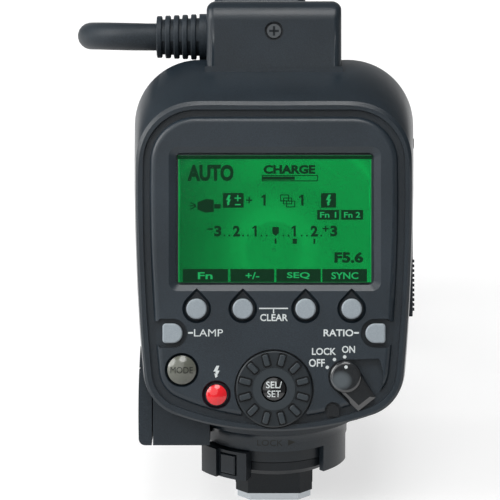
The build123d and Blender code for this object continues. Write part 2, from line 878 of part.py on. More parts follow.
def transformer():
    top = -frame_depth - board_thickness
    core = block(
        -transformer_size, 0, screen_v - transformer_size / 2, screen_v + transformer_size / 2,
        top - transformer_height, top,
    )
    return on_panel(fillet(core.edges().filter_by(Axis.Z), transformer_size / 8))


def socket_cap():
    """The soft cover of the power socket, with the plug that holds it shut."""
    left, right = box_left - box_swell - overrun, box_left + cap_thickness - free_gap
    cap = block(left, right, rim_bottom - shoulder_depth, cap_top, -cap_far, -box_near)
    cap = on_panel(cap) & socket_box()
    plug = disc(cap_plug_radius, right, right + free_gap + cap_plug_length)
    return cap + on_panel(Pos(0, socket_v, -socket_depth) * Rot(0, 90, 0) * plug)


def power_socket():
    start = box_left + cap_thickness
    barrel = disc(socket_radius, start, start + socket_length)
    barrel -= disc(socket_hole_radius, start - overrun, start + socket_length - wall)
    barrel += disc(socket_pin_radius, start + wall, start + socket_length - wall)
    return on_panel(Pos(0, socket_v, -socket_depth) * Rot(0, 90, 0) * barrel)


def lock_lever():
    top = neck_bottom - free_gap
    ring = prism(Circle(lever_ring_radius) - Circle(column_radius + running_gap), lever_low, top)
    inner = flange_radius + free_gap
    shroud = prism(ring_sector(inner, shroud_radius, tab_start, shroud_end), shroud_low, top)
    tab = prism(ring_sector(inner, tab_radius, tab_start, tab_end), shroud_low, top)
    pocket_low = shroud_middle() - release_height / 2 - free_gap
    pocket = block(
        release_back() - release_travel - free_gap, tab_radius + overrun,
        -release_width / 2 - free_gap, release_width / 2 + free_gap,
        pocket_low, pocket_low + release_height + 2 * free_gap,
    )
    return ring + shroud + tab - Rot(0, 0, release_angle) * pocket


def shroud_middle():
    return (shroud_low + neck_bottom) / 2


def release_back():
    return shroud_radius + release_proud - release_depth


def lock_release_button():
    low = shroud_middle() - release_height / 2
    cap = block(
        release_back(), shroud_radius + release_proud, -release_width / 2, release_width / 2,
        low, low + release_height,
    )
    cap = fillet(cap.faces().sort_by(Axis.X)[-1].edges(), release_proud)
    return Rot(0, 0, release_angle) * cap


def foot_base():
    """The turned column and flange with the moulded block that holds the plate."""
    column = disc(column_radius, flange_low, neck_bottom)
    flange = disc(flange_radius, flange_low, lever_low - free_gap)
    flange = chamfer(flange.edges().sort_by(Axis.Z)[0], flange_chamfer)
    length = foot_base_back + foot_plate_length / 2
    face = Pos(0, foot_plate_length / 2 - length / 2) * Rectangle(foot_base_width, length)
    face = chamfer(face.vertices().sort_by(Axis.Y)[:2], foot_plate_cut)
    foot = prism(face, foot_plate_height, flange_low)
    slot_back = -foot_plate_length / 2 + rail_slot_stop
    inner = foot_plate_width / 2 - rail_slot_depth
    for side in (-1, 1):
        near, far = sorted((side * inner, side * (foot_base_width / 2 + overrun)))
        foot -= block(
            near, far, slot_back, foot_plate_length / 2 + overrun,
            foot_plate_height - overrun, foot_plate_height + rail_slot_height,
        )
    bore = Pos(0, lock_pin_y) * disc(
        lock_pin_radius + running_gap, foot_plate_height - overrun, lock_pin_top + 2 * overrun
    )
    return column + flange + foot - bore


def contact_places():
    row = [((n - 1.5) * contact_pitch, contact_row_y) for n in range(4)]
    return [(0, 0)] + row


def foot_plate():
    face = Rectangle(foot_plate_width, foot_plate_length)
    face = chamfer(face.vertices().sort_by(Axis.Y)[:2], foot_plate_cut)
    face = chamfer(face.vertices().sort_by(Axis.Y)[-2:], foot_plate_cut / 2)
    face -= Pos(0, lock_pin_y) * Circle(lock_pin_radius + running_gap)
    for x, y in contact_places():
        face -= Pos(x, y) * Circle(contact_radius)
    return prism(face, 0, foot_plate_height)


def foot_contacts():
    pins = Part()
    for x, y in contact_places():
        pins += Pos(x, y) * disc(contact_radius, 0, foot_plate_height)
    return pins


def lock_pin():
    return Pos(0, lock_pin_y) * disc(lock_pin_radius, lock_pin_inset, lock_pin_top)


def ring_outline():
    """The head's outline: a circle on a lamp housing with a flat foot."""
    foot = -ring_z
    points = [
        (-housing_spread_half, -housing_spread_drop),
        (-lamp_housing_half, foot + lamp_housing_side),
        (-lamp_housing_half, foot),
        (lamp_housing_half, foot),
        (lamp_housing_half, foot + lamp_housing_side),
        (housing_spread_half, -housing_spread_drop),
    ]
    housing = make_face(Polyline(*points, close=True).edges())
    housing = fillet(housing.vertices().sort_by(Axis.Y)[:2], lamp_housing_radius)
    return Circle(ring_radius) + housing


def head_channel(low, high):
    """The ring-shaped space inside the head, with the lamp housing's space below it."""
    return prism(offset(ring_outline(), -ring_wall) - Circle(seat_radius + ring_wall), low, high)


def ring_rear_case():
    case = prism(ring_outline(), -half_thickness, ring_split)
    case = fillet(case.faces().sort_by(Axis.Z)[0].edges(), ring_round)
    case -= head_channel(-half_thickness + ring_wall, ring_split + overrun)
    case -= disc(seat_radius, -half_thickness - overrun, -half_thickness + seat_depth)
    case -= disc(lens_radius, -half_thickness, ring_split + overrun)
    for side in (-1, 1):
        turn = Rot(0, 0, 0 if side > 0 else 180)
        half = push_half + free_gap
        case -= turn * block(
            catch_outer, ring_radius + overrun, -half, half, push_low - free_gap, push_high + free_gap
        )
        low = catch_level(-side)
        claw_half = catch_claw_half + free_gap
        case -= turn * block(
            lens_radius, catch_inner, -claw_half, claw_half,
            low - free_gap, low + catch_thickness + free_gap,
        )
    case -= gland_hole()
    for place in ring_screw_places():
        case -= place * disc(ring_screw_head, -half_thickness - overrun, -half_thickness + ring_wall / 2)
        case -= place * disc(ring_screw_radius, -half_thickness, -half_thickness + ring_wall + overrun)
    return on_ring(case)


def gland_hole():
    hole = disc(gland_tip_radius, lamp_housing_half - ring_wall, lamp_housing_half + overrun)
    return Pos(0, gland_z - ring_z, 0) * Rot(0, 90, 0) * hole


def catch_level(side):
    return catch_low + (catch_step if side < 0 else 0)


def ring_screw_places():
    return [Rot(0, 0, angle) * Pos(ring_screw_reach, 0, 0) for angle in (45, 135, 225, 315)]


def ring_screws():
    screws = Part()
    for place in ring_screw_places():
        low = -half_thickness
        screws += place * disc(ring_screw_head, low + ring_wall / 4, low + ring_wall / 2)
        screws += place * disc(ring_screw_radius, low + ring_wall / 2, low + ring_wall + overrun)
    return on_ring(screws)


def ring_front_case():
    case = prism(ring_outline(), ring_split, half_thickness)
    case = fillet(case.faces().sort_by(Axis.Z)[-1].edges(), ring_round)
    case -= head_channel(ring_split - overrun, half_thickness - ring_wall)
    case -= disc(lens_radius, ring_split - overrun, half_thickness + overrun)
    case -= gland_hole()
    for side in (0, 180):
        window = ring_sector(
            diffuser_inner, diffuser_outer, side - diffuser_half_angle, side + diffuser_half_angle
        )
        case -= prism(window, half_thickness - ring_wall - overrun, half_thickness + overrun)
    for side in (-1, 1):
        case -= Pos(side * lamp_place, -lamp_drop) * disc(
            focus_lamp_radius, half_thickness - ring_wall - overrun, half_thickness + overrun
        )
    return on_ring(case)


def ring_diffuser(side):
    """A clear arc with a flange behind the case and a row of round prisms on its inner face."""
    start, end = side - diffuser_half_angle, side + diffuser_half_angle
    top = half_thickness
    low = half_thickness - ring_wall - diffuser_flange
    pitch = (diffuser_outer - diffuser_inner) / prism_count
    flange_top = half_thickness - ring_wall
    points = [(diffuser_inner, low), (diffuser_inner, top), (diffuser_outer, top), (diffuser_outer, low)]
    for n in range(prism_count, 0, -1):
        points.append((diffuser_inner + pitch * (n - 1 / 2), low + prism_height))
        if n > 1:
            points.append((diffuser_inner + pitch * (n - 1), low))
    face = Plane.XZ * make_face(Polyline(*points, close=True).edges())
    arc = revolve(face, Axis.Z, end - start)
    arc = Rot(0, 0, start) * arc
    for inner, outer in (
        (diffuser_inner - diffuser_flange, diffuser_inner),
        (diffuser_outer, diffuser_outer + diffuser_flange),
    ):
        arc += prism(ring_sector(inner, outer, start, end), low, flange_top)
    return on_ring(arc)


def ring_reflector(side):
    """A bright channel round the tube, with an end wall that holds each end of the tube."""
    start, end = side - diffuser_half_angle, side + diffuser_half_angle
    top = half_thickness - ring_wall - diffuser_flange
    inner, outer = diffuser_inner - diffuser_flange, diffuser_outer + diffuser_flange
    channel = prism(ring_sector(inner, outer, start, end), ring_split - reflector_floor, top)
    slot = ring_sector(
        inner + reflector_wall, outer - reflector_wall, side - tube_half_angle, side + tube_half_angle
    )
    return on_ring(channel - prism(slot, ring_split, top + overrun))


def flash_tube(side):
    path = CenterArc((0, 0), tube_path_radius, side - tube_half_angle, 2 * tube_half_angle)
    section = Plane(origin=path @ 0, z_dir=path % 0) * Circle(tube_radius)
    return on_ring(Pos(0, 0, tube_height) * sweep(section, path=path))


def focus_lamp_lenses():
    lenses = Part()
    for side in (-1, 1):
        lens = disc(focus_lamp_radius, half_thickness - ring_wall, half_thickness + focus_lamp_proud)
        lens = fillet(lens.faces().sort_by(Axis.Z)[-1].edges(), focus_lamp_proud)
        lenses += Pos(side * lamp_place, -lamp_drop) * lens
    return on_ring(lenses)


def ring_board():
    low = -half_thickness + ring_wall
    middle = -lamp_drop
    board = block(
        -ring_board_half, ring_board_half, middle - ring_board_height / 2, middle + ring_board_height / 2,
        low, low + board_thickness,
    )
    return on_ring(board)


def focus_lamp_leds():
    low = -half_thickness + ring_wall + board_thickness
    leds = Part()
    for side in (-1, 1):
        leds += Pos(side * lamp_place, -lamp_drop) * disc(led_radius, low, low + led_height)
    return on_ring(leds)


def ring_release_catch(side):
    """One sliding piece: the button on one side, a half-ring yoke, and the claw on the other side."""
    low = catch_level(side)
    top = low + catch_thickness
    yoke = prism(ring_sector(catch_inner, catch_outer, *yoke_angles), low, top)
    claw_foot = catch_step / 2 - catch_outer
    claw = block(claw_foot, -catch_tip, -catch_claw_half, catch_claw_half, low, top)
    bridge = block(catch_inner, ring_radius - ring_wall, -push_half / 2, push_half / 2, low, top)
    button_low = ring_radius - 2 * ring_wall
    cap = block(button_low, ring_radius + push_proud, -push_half, push_half, push_low, push_high)
    cap = fillet(cap.faces().sort_by(Axis.X)[-1].edges(), push_proud / 3)
    turn = Rot(0, 0, 0 if side > 0 else 180)
    return on_ring(turn * (cap + bridge + yoke + claw))


def cord_gland():
    length = gland_length
    cone = loft(
        [Circle(gland_base_radius), Pos(0, 0, length) * Circle(gland_tip_radius)], ruled=True
    )
    spigot = disc(gland_tip_radius, -ring_wall, 0)
    return on_ring(Pos(lamp_housing_half, gland_z - ring_z, 0) * Rot(0, 90, 0) * (cone + spigot))


def case_screws():
    screws = Part()
    for side in (-1, 1):
        screws += Pos(side * post_u, post_v) * disc(
            post_radius, button_board_face() - 2 * board_thickness, button_board_face() - board_thickness
        )
    return on_panel(screws)


def exposure_lamp():
    top = lamp_top - (lamp_width - lamp_lens_width) / 2
    lens = prism(lamp_arch(lamp_lens_width, top, lamp_lens_foot), -recess_depth, lamp_face)
    return on_panel(lens, lamp_u, 0)


parts = {
    "front_case": front_case(),
    "rear_cover": rear_cover(),
    "cable_cover": cable_cover(),
    "cable_cover_screw": cover_screw(),
    "strain_relief": strain_relief(),
    "head_cord": head_cord(),
    "button_board": button_board(),
    "dial_encoder": dial_encoder(),
    "select_dial": on_panel(select_dial(), 0, dial_v),
    "set_button": on_panel(button(Circle(set_radius), set_proud, button_crown), 0, dial_v),
    "power_switch": on_panel(power_switch(), switch_u, switch_v),
    "exposure_lamp": exposure_lamp(),
    "mode_button": on_panel(button(Circle(mode_radius), mode_proud, mode_crown), mode_u, mode_v),
    "pilot_button": on_panel(button(Circle(pilot_radius), pilot_proud, pilot_crown), pilot_u, pilot_v),
    "case_screws": case_screws(),
    "battery_holder": battery_holder(),
    "battery_cells": battery_cells(),
    "battery_contacts": battery_contacts(),
    "battery_door": battery_door(),
    "door_carrier": door_carrier(),
    "door_hinge_pin": door_hinge_pin(),
    "main_capacitor": main_capacitor(),
    "transformer": transformer(),
    "socket_cap": socket_cap(),
    "power_socket": power_socket(),
    "lock_lever": lock_lever(),
    "lock_release_button": lock_release_button(),
    "foot_base": foot_base(),
    "foot_plate": foot_plate(),
    "foot_contacts": foot_contacts(),
    "lock_pin": lock_pin(),
    "ring_rear_case": ring_rear_case(),
    "ring_front_case": ring_front_case(),
    "ring_screws": ring_screws(),
    "focus_lamp_lenses": focus_lamp_lenses(),
    "focus_lamp_leds": focus_lamp_leds(),
    "ring_board": ring_board(),
    "cord_gland": cord_gland(),
}
for name, shape in zip(("lcd_window", "lcd_module", "lcd_carrier", "main_board"), screen_parts()):
    parts[name] = shape
for number, place in enumerate(button_places, 1):
    cap = button(Circle(button_radius), button_proud, button_crown)
    parts[f"function_button_{number}"] = on_panel(cap, place, button_v)
for name, side in (("lamp_button", -1), ("ratio_button", 1)):
    cap = button(side_button_face(side, 0), button_proud, button_crown)
    parts[name] = on_panel(cap, side * side_button_u, side_button_v)
for name, side in (("right", 0), ("left", 180)):
    parts[f"ring_diffuser_{name}"] = ring_diffuser(side)
    parts[f"ring_reflector_{name}"] = ring_reflector(side)
    parts[f"flash_tube_{name}"] = flash_tube(side)
for name, side in (("right", 1), ("left", -1)):
    parts[f"ring_release_{name}"] = ring_release_catch(side)

os.makedirs("parts", exist_ok=True)
for name, shape in parts.items():
    export_step(shape, f"parts/{name}.step")
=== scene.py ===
import math

import bmesh
import bpy
from mathutils import Matrix, Vector


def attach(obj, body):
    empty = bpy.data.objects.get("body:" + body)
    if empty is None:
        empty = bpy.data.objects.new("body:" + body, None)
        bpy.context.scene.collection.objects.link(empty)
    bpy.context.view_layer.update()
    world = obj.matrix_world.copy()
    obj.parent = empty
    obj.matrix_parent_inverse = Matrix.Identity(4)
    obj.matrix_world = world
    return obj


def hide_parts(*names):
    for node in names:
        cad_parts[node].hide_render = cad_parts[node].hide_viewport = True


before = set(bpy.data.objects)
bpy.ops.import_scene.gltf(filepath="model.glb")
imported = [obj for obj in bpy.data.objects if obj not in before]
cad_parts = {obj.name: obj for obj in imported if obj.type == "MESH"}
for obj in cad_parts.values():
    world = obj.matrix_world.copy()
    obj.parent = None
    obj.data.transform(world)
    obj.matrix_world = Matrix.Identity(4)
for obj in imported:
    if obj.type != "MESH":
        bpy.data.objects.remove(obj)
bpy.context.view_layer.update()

# Moulded case. The front case, the cable cover's hood, the battery door and the ring head are moulded in
# one dark blue-grey plastic. Its fine spark-eroded grain leaves the colour and the sheen a little uneven.
mm = 0.001
weld = 0.001 * mm
panel_lean = math.radians(15)
panel_forward, panel_height = 16.7, 67.7


class Mask:
    """A number or colour that changes over a surface. Sums and products of masks add Math nodes."""

    def __init__(self, finish, socket):
        self.finish = finish
        self.socket = socket

    def __add__(self, other):
        return self.finish.maths("ADD", self, other)

    def __sub__(self, other):
        return self.finish.maths("SUBTRACT", self, other)

    def __mul__(self, other):
        return self.finish.maths("MULTIPLY", self, other)

    def __truediv__(self, other):
        return self.finish.maths("DIVIDE", self, other)

    def __rsub__(self, other):
        return self.finish.maths("SUBTRACT", other, self)

    __radd__ = __add__
    __rmul__ = __mul__


class Finish:
    """One finish of the flash, built round a Principled shader."""

    def __init__(self, name, colour, roughness, **sockets):
        self.material = bpy.data.materials.new(name)
        self.material.use_nodes = True
        self.tree = self.material.node_tree
        self.shader = self.tree.nodes["Principled BSDF"]
        self.colour = (*colour, 1.0)
        self.set("Base Color", self.colour)
        self.set("Roughness", roughness)
        for key, value in sockets.items():
            self.set(key.replace("_", " "), value)

    def set(self, socket, value):
        self.feed(self.shader.inputs[socket], value)

    def feed(self, socket, value):
        if isinstance(value, Mask):
            self.tree.links.new(value.socket, socket)
        else:
            socket.default_value = value

    def node(self, kind, settings, inputs, output=0):
        node = self.tree.nodes.new(kind)
        for key, value in settings.items():
            setattr(node, key, value)
        for key, value in inputs.items():
            self.feed(node.inputs[key], value)
        return Mask(self, node.outputs[output])

    def maths(self, operation, first, second):
        return self.node("ShaderNodeMath", {"operation": operation}, {0: first, 1: second})

    def place(self):
        return self.node("ShaderNodeTexCoord", {}, {}, "Object")

    def noise(self, size):
        inputs = {"Vector": self.place(), "Scale": 1 / size, "Detail": 2.0}
        return self.node("ShaderNodeTexNoise", {}, inputs)

    def mix(self, share, first, second):
        settings = {"data_type": "RGBA"}
        return self.node("ShaderNodeMix", settings, {0: share, 6: first, 7: second}, 2)

    def between(self, value, low, high):
        """0 below low, 1 above high and a smooth step from one to the other."""
        settings = {"interpolation_type": "SMOOTHSTEP"}
        return self.node("ShaderNodeMapRange", settings, {0: value, 1: low, 2: high})

    def axis(self, number):
        return self.node("ShaderNodeSeparateXYZ", {}, {0: self.place()}, number)

    def above_panel(self):
        """The height over the rear panel's face, in metres, at each point of the surface."""
        out = (self.axis("Y") + panel_forward * mm) * -math.cos(panel_lean)
        return out + (self.axis("Z") - panel_height * mm) * math.sin(panel_lean)

    def bump(self, height, depth):
        self.set("Normal", self.node("ShaderNodeBump", {}, {"Height": height, "Distance": depth}))

    def varied(self, socket, size, first, second):
        """Lets a colour drift from the first to the second over patches of that size."""
        self.set(socket, self.mix(self.noise(size), (*first, 1), (*second, 1)))
        return self

    def uneven(self, low, spread, size):
        """Lets the roughness drift upwards from low over patches of that size."""
        self.set("Roughness", low + spread * self.noise(size))
        return self

    def grained(self, size, depth, contrast=0.3, sheen=0.12):
        """Moulded grain: fine pits, slow clouds in the colour and an uneven sheen."""
        grain = self.noise(size)
        cloud = self.noise(60 * size)
        dark = tuple(part * (1 - contrast) for part in self.colour[:3]) + (1.0,)
        light = tuple(part * (1 + contrast) for part in self.colour[:3]) + (1.0,)
        self.set("Base Color", self.mix(self.between(grain * 0.7 + cloud * 0.3, 0.3, 0.7), dark, light))
        base = self.shader.inputs["Roughness"].default_value
        self.set("Roughness", base - sheen / 2 + sheen * cloud)
        self.bump(grain, depth)
        return self


def dress(finish, *names):
    """Gives CAD nodes a finish in place of the plain one that they come with."""
    for name in names:
        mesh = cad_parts[name].data
        mesh.materials.clear()
        mesh.materials.append(finish.material)


case_plastic = Finish("case_plastic", (0.012, 0.019, 0.026), 0.34, Specular_IOR_Level=0.42)
case_plastic.grained(0.24 * mm, 0.03 * mm)
dress(
    case_plastic, "front_case", "battery_door", "door_carrier", "ring_rear_case", "ring_front_case",
    "ring_release_right", "ring_release_left",
)

# Rear panel. A separate moulding in a slightly lighter grey, let into the case's rim and held by screws from
# inside. Its words and index marks are pad-printed in pale grey ink, a hair proud of the plastic.
panel_plastic = Finish("panel_plastic", (0.015, 0.023, 0.031), 0.34, Specular_IOR_Level=0.45)
panel_plastic.grained(0.24 * mm, 0.03 * mm)
dress(panel_plastic, "rear_cover")
panel_turn = Matrix.Rotation(math.pi / 2 - panel_lean, 4, "X")
panel_frame = Matrix.Translation((0, -panel_forward * mm, panel_height * mm)) @ panel_turn
ink_height, ink_thickness = 1.75, 0.02
crease_angle = math.radians(40)


def on_panel(u, v, n=0.0):
    """A place on the panel, in millimetres right, up and out from its reference point."""
    return panel_frame @ Matrix.Translation((u * mm, v * mm, n * mm))


def piece(name, shape, finish, body, replaced=()):
    """Makes a bmesh an object that rides on a body, in place of the CAD nodes that it replaces."""
    mesh = bpy.data.meshes.new(name)
    shape.to_mesh(mesh)
    shape.free()
    mesh.polygons.foreach_set("use_smooth", [True] * len(mesh.polygons))
    mesh.set_sharp_from_angle(angle=crease_angle)
    mesh.materials.append(finish.material)
    made = bpy.data.objects.new(name, mesh)
    bpy.context.collection.objects.link(made)
    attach(made, body)
    if replaced:
        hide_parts(*replaced)
    return made


def add_word(shape, words, width, height, place, bold=0.02):
    """Adds a line of lettering of that width and height, centred on the place, to a bmesh."""
    curve = bpy.data.curves.new("word", "FONT")
    curve.body = words
    curve.size = 1.0
    curve.offset = bold
    curve.align_x = "CENTER"
    curve.align_y = "CENTER"
    curve.resolution_u = 3
    holder = bpy.data.objects.new("word", curve)
    bpy.context.collection.objects.link(holder)
    flat = bpy.data.meshes.new_from_object(holder)
    bpy.data.objects.remove(holder)
    low = Vector([min(v.co[i] for v in flat.vertices) for i in range(2)])
    high = Vector([max(v.co[i] for v in flat.vertices) for i in range(2)])
    middle = (low + high) / 2
    fit = Matrix.Diagonal((width * mm / (high.x - low.x), height * mm / (high.y - low.y), 1, 1))
    flat.transform(place @ fit @ Matrix.Translation((-middle.x, -middle.y, 0)))
    start = len(shape.faces)
    shape.from_mesh(flat)
    bpy.data.meshes.remove(flat)
    shape.faces.ensure_lookup_table()
    thicken(shape, shape.faces[start:], place)


def thicken(shape, faces, place, thickness=ink_thickness):
    """Raises flat faces by a thickness in millimetres and closes their sides."""
    rise = place.to_3x3() @ Vector((0, 0, thickness * mm))
    made = bmesh.ops.extrude_face_region(shape, geom=list(faces), use_keep_orig=True)["geom"]
    corners = [part for part in made if isinstance(part, bmesh.types.BMVert)]
    bmesh.ops.translate(shape, verts=corners, vec=rise)


def add_plate(shape, width, height, place):
    """Adds a flat bar of that size to a bmesh."""
    grid = bmesh.ops.create_grid(shape, x_segments=1, y_segments=1, size=0.5)["verts"]
    bmesh.ops.transform(shape, matrix=place @ Matrix.Diagonal((width * mm, height * mm, 1, 1)), verts=grid)
    thicken(shape, {face for corner in grid for face in corner.link_faces}, place)


def add_dot(shape, radius, place, thickness=ink_thickness):
    """Adds a round spot of that radius to a bmesh."""
    disc = bmesh.ops.create_circle(shape, cap_ends=True, radius=radius * mm, segments=24)["verts"]
    bmesh.ops.transform(shape, matrix=place, verts=disc)
    thicken(shape, {face for corner in disc for face in corner.link_faces}, place, thickness)


def add_outline(shape, points, place):
    """Adds a flat shape given by its corners in millimetres to a bmesh."""
    corners = [shape.verts.new(place @ Vector((x * mm, y * mm, 0))) for x, y in points]
    thicken(shape, [shape.faces.new(corners)], place)


def bolt_points(width, height):
    """The corners of a zigzag arrow, the usual sign for a flash."""
    shares = (
        (0.0, 0.5), (0.35, 0.5), (0.12, 0.1), (0.38, 0.1), (0.06, -0.32), (0.24, -0.32),
        (-0.12, -0.5), (-0.26, -0.12), (-0.1, -0.16), (-0.12, 0.04), (-0.38, 0.02),
    )
    return [(x * width, y * height) for x, y in reversed(shares)]


ink = Finish("pale_ink", (0.60, 0.64, 0.64), 0.55, Specular_IOR_Level=0.3)
ink.varied("Base Color", 0.3 * mm, (0.5, 0.54, 0.54), (0.68, 0.72, 0.72))
index_dot, side_word_v = 0.42, -20.34
prints = bmesh.new()
add_word(prints, "CLEAR", 6.8, ink_height, on_panel(0.0, -16.6))
add_plate(prints, 7.1, 0.3, on_panel(-0.1, -14.35))
add_plate(prints, 0.3, 1.2, on_panel(-0.1, -14.95))
add_word(prints, "LAMP", 7.1, ink_height, on_panel(-16.05, side_word_v), bold=0.0)
add_plate(prints, 1.2, 0.42, on_panel(-20.45, side_word_v))
add_word(prints, "RATIO", 7.3, ink_height, on_panel(15.8, side_word_v))
add_plate(prints, 1.2, 0.42, on_panel(20.2, side_word_v))
add_outline(prints, bolt_points(2.0, 3.0), on_panel(-14.1, -29.9))
add_word(prints, "LOCK", 5.9, ink_height, on_panel(12.25, -24.9))
add_word(prints, "ON", 3.2, ink_height, on_panel(18.25, -24.4))
add_word(prints, "OFF", 3.9, 1.95, on_panel(10.5, -27.7))
for u, v in ((17.32, -26.24), (14.82, -26.88), (13.06, -28.79)):
    add_dot(prints, index_dot, on_panel(u, v))
piece("panel_print", prints, ink, "control_unit")

# Cable cover. Its hood is moulded in the same plastic as the case and screwed over the cord's end. Its upper
# front edge runs back in a broad soft roll, pressed into a finely cut copy of the plain cover.
cover_front, roll_depth = -12.5, 9.0
roll_start, roll_top, roll_radius, roll_steps = 57.4, 62.5, 4.4, 16
flat_within = math.radians(0.5)
hood_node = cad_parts["cable_cover"]
hood = bmesh.new()
hood.from_mesh(hood_node.data)
bmesh.ops.transform(hood, matrix=hood_node.matrix_world, verts=hood.verts)
bmesh.ops.remove_doubles(hood, verts=hood.verts, dist=weld)
bmesh.ops.dissolve_limit(hood, angle_limit=flat_within, verts=hood.verts, edges=hood.edges)
up = panel_frame.to_3x3().col[1]
for step in range(roll_steps):
    cut = on_panel(0, roll_start + (roll_top - roll_start) * step / roll_steps).translation
    parts = hood.verts[:] + hood.edges[:] + hood.faces[:]
    bmesh.ops.bisect_plane(hood, geom=parts, dist=weld, plane_co=cut, plane_no=up)
for corner in hood.verts:
    local = panel_frame.inverted() @ corner.co / mm
    rise = max(0.0, local.y - roll_start)
    near = min(1.0, max(0.0, 1 + (local.z - cover_front) / roll_depth))
    corner.co = on_panel(local.x, local.y, local.z - near * rise**2 / (2 * roll_radius)).translation
cover_hood = piece("cover_hood", hood, case_plastic, "control_unit", ["cable_cover"])
flat_faces_rule = cover_hood.modifiers.new("flat_faces_rule", "WEIGHTED_NORMAL")
flat_faces_rule.weight = 100
flat_faces_rule.keep_sharp = True

# Screen. A lit liquid-crystal module stands in a black carrier behind a clear window, which is glued into
# the panel's sloping bezel. Its signs are black cells in front of a green backlight, brightest on the right.
self_lit = {"Specular_IOR_Level": 0.0, "Emission_Strength": 1.0}
screen_green = Finish("screen_green", (0.002, 0.02, 0.006), 0.5, **self_lit)
glow_from, glow_to, edge_from, edge_to = -26 * mm, -2 * mm, -23.0 * mm, -23.9 * mm
lit = screen_green.between(screen_green.axis("X"), glow_from, glow_to)
speckle = screen_green.noise(0.5 * mm)
glow = screen_green.mix(lit * 0.85 + speckle * 0.15, (0.007, 0.20, 0.05, 1), (0.008, 0.52, 0.105, 1))
edge_light = screen_green.between(screen_green.axis("X"), edge_from, edge_to)
screen_green.set("Emission Color", screen_green.mix(edge_light, glow, (0.02, 0.85, 0.16, 1)))
dress(screen_green, "lcd_module")

screen_window = Finish("screen_window", (0.01, 0.02, 0.015), 0.06, Specular_IOR_Level=0.5, Alpha=0.06)
screen_window.uneven(0.05, 0.05, 9 * mm)
dress(screen_window, "lcd_window")

dark_cell = Finish("dark_cell", (0.003, 0.01, 0.005), 0.6, **self_lit)
dark_cell.varied("Emission Color", 0.5 * mm, (0.004, 0.020, 0.009), (0.006, 0.034, 0.014))
dark_level, lit_level = -1.78, -1.75
digit_width, digit_height, scale_v = 1.75, 2.7, 4.6
one_points = (
    (-0.1, -1.35), (0.45, -1.35), (0.45, 1.35), (0.0, 1.35), (-0.6, 0.9), (-0.6, 0.45), (-0.1, 0.75),
)
cells = bmesh.new()


def on_screen(u, v, level=dark_level):
    """A place on the screen, at the level of the dark signs or of the lit ones on top of them."""
    return on_panel(u, v, level)


add_plate(cells, 48.0, 0.85, on_screen(0.2, 22.7))
add_word(cells, "AUTO", 11.4, 4.1, on_screen(-15.6, 18.9), bold=0.05)
add_word(cells, "CHARGE", 12.7, 2.2, on_screen(3.8, 19.75), bold=0.05)
for v in (18.25, 16.95):
    add_plate(cells, 13.7, 0.22, on_screen(3.9, v))
for u in (-2.9, 10.7):
    add_plate(cells, 0.22, 1.5, on_screen(u, 17.6))
add_plate(cells, 8.0, 0.8, on_screen(1.1, 17.6))
lamp_sign = ((-2.9, 1.3), (-0.9, 2.1), (1.1, 1.9), (1.1, -1.1), (-0.9, -1.3), (-2.9, -0.5))
add_outline(cells, lamp_sign, on_screen(-15.9, 10.4))
add_plate(cells, 1.6, 1.1, on_screen(-13.9, 10.7))
for turn in (-0.5, 0.0, 0.5):
    add_plate(cells, 1.5, 0.28, on_screen(-19.9, 10.8 + turn) @ Matrix.Rotation(-turn, 4, "Z"))
add_plate(cells, 5.1, 3.6, on_screen(-10.0, 12.15))
add_plate(cells, 1.5, 0.34, on_screen(-6.1, 12.2))
add_plate(cells, 0.34, 1.5, on_screen(-6.1, 12.2))
add_outline(cells, one_points, on_screen(-2.5, 12.2))
for step in range(3):
    u, v = 2.6 + 0.75 * step, 12.75 - 0.75 * step
    for side in (-1, 1):
        add_plate(cells, 2.2, 0.24, on_screen(u, v + side * 0.72))
        add_plate(cells, 0.24, 1.6, on_screen(u + side * 1.0, v))
add_outline(cells, one_points, on_screen(6.8, 12.2))
add_plate(cells, 3.7, 3.6, on_screen(13.4, 12.15))
add_plate(cells, 5.4, 2.4, on_screen(13.3, 8.6))
add_plate(cells, 5.4, 2.4, on_screen(19.2, 8.6))
for u, digit in ((-13.8, "3"), (-9.2, "2"), (9.9, "2"), (14.7, "3")):
    add_word(cells, digit, digit_width, digit_height, on_screen(u, scale_v), bold=0.045)
for u in (-4.7, 4.9):
    add_outline(cells, one_points, on_screen(u, scale_v))
for u in (-12.2, -11.0, -7.6, -6.4, -3.1, -1.8, 2.3, 3.6, 6.8, 8.1, 11.6):
    add_plate(cells, 0.42, 0.42, on_screen(u, 3.5))
add_plate(cells, 1.4, 0.36, on_screen(-15.7, 5.1))
add_plate(cells, 1.5, 0.36, on_screen(12.7, 5.2))
add_plate(cells, 0.36, 1.5, on_screen(12.7, 5.2))
marker = ((-0.8, 1.1), (-0.8, -0.4), (0.0, -1.1), (0.8, -0.4), (0.8, 1.1))
add_outline(cells, marker, on_screen(0.4, 4.5))
for u, width in ((0.4, 0.45), (5.1, 1.1), (9.9, 0.45)):
    add_plate(cells, width, 1.25, on_screen(u, 2.1))
add_word(cells, "F5.6", 7.1, digit_height, on_screen(18.4, -1.85), bold=0.045)
for low, high in ((-22.43, -11.3), (-10.71, 0.07), (0.57, 11.47), (11.87, 22.85)):
    add_plate(cells, high - low, 3.2, on_screen((low + high) / 2, -6.3))
piece("screen_signs", cells, dark_cell, "control_unit")

